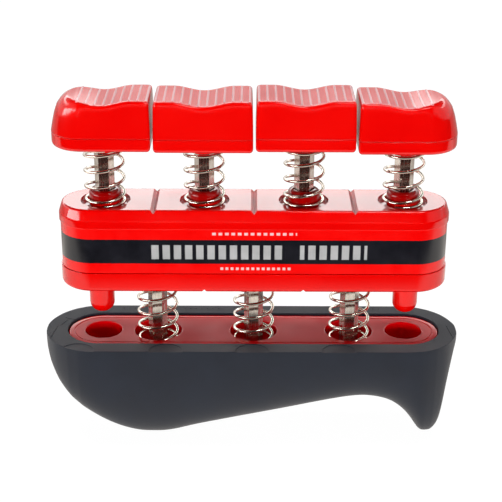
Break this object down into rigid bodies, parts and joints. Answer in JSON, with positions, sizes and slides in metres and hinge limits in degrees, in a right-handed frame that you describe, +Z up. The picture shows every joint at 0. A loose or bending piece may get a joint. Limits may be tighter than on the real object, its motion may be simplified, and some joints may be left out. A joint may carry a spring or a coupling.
{
  "type": "finger exerciser",
  "caption": "Hand-held finger exerciser: independently sprung finger buttons on a sprung sliding body above a hooked palm grip.",
  "frame": {"origin": "centre of the bounding box in X and Y, on the surface that the palm grip's underside rests on", "axes": "+Z up along every sliding shaft, +X along the row of fingers towards the hooked end of the grip, -Y towards the labelled side"},
  "size_m": [0.1076, 0.0274, 0.0926],
  "materials": {
    "red_plastic": "glossy moulded red plastic",
    "grip_rubber": "soft matte charcoal rubber",
    "label_print": "printed film, black band on red",
    "shaft_steel": "drawn hexagonal steel bar",
    "spring_nickel": "bright nickel-plated wire"
  },
  "bodies": {
    "handle": {"handle_grip": "grip_rubber", "base_plate": "red_plastic", "base_shaft_1": "shaft_steel", "base_shaft_2": "shaft_steel", "base_shaft_3": "shaft_steel", "base_clip_1": "spring_nickel", "base_clip_2": "spring_nickel", "base_clip_3": "spring_nickel", "base_spring_1": "spring_nickel", "base_spring_2": "spring_nickel", "base_spring_3": "spring_nickel"},
    "body": {"body_upper_shell": "red_plastic", "body_lower_shell": "red_plastic", "label_band": "label_print", "finger_spring_1": "spring_nickel", "finger_spring_2": "spring_nickel", "finger_spring_3": "spring_nickel", "finger_spring_4": "spring_nickel"},
    "finger_1": {"button_cap_1": "red_plastic", "button_lid_1": "red_plastic", "finger_shaft_1": "shaft_steel", "finger_clip_1": "spring_nickel"},
    "finger_2": {"button_cap_2": "red_plastic", "button_lid_2": "red_plastic", "finger_shaft_2": "shaft_steel", "finger_clip_2": "spring_nickel"},
    "finger_3": {"button_cap_3": "red_plastic", "button_lid_3": "red_plastic", "finger_shaft_3": "shaft_steel", "finger_clip_3": "spring_nickel"},
    "finger_4": {"button_cap_4": "red_plastic", "button_lid_4": "red_plastic", "finger_shaft_4": "shaft_steel", "finger_clip_4": "spring_nickel"}
  },
  "joints": [
    {"name": "body_slide", "type": "slide", "parent": "handle", "child": "body", "axis": [0, 0, -1], "range_m": [0, 0.009], "stiffness_N_per_m": 4400, "springref_m": -0.002, "deforming": ["base_spring_1", "base_spring_2", "base_spring_3"]},
    {"name": "finger_1_slide", "type": "slide", "parent": "body", "child": "finger_1", "axis": [0, 0, -1], "range_m": [0, 0.009], "stiffness_N_per_m": 1480, "springref_m": -0.002, "deforming": ["finger_spring_1"]},
    {"name": "finger_2_slide", "type": "slide", "parent": "body", "child": "finger_2", "axis": [0, 0, -1], "range_m": [0, 0.009], "stiffness_N_per_m": 1480, "springref_m": -0.002, "deforming": ["finger_spring_2"]},
    {"name": "finger_3_slide", "type": "slide", "parent": "body", "child": "finger_3", "axis": [0, 0, -1], "range_m": [0, 0.009], "stiffness_N_per_m": 1480, "springref_m": -0.002, "deforming": ["finger_spring_3"]},
    {"name": "finger_4_slide", "type": "slide", "parent": "body", "child": "finger_4", "axis": [0, 0, -1], "range_m": [0, 0.009], "stiffness_N_per_m": 1480, "springref_m": -0.002, "deforming": ["finger_spring_4"]}
  ]
}
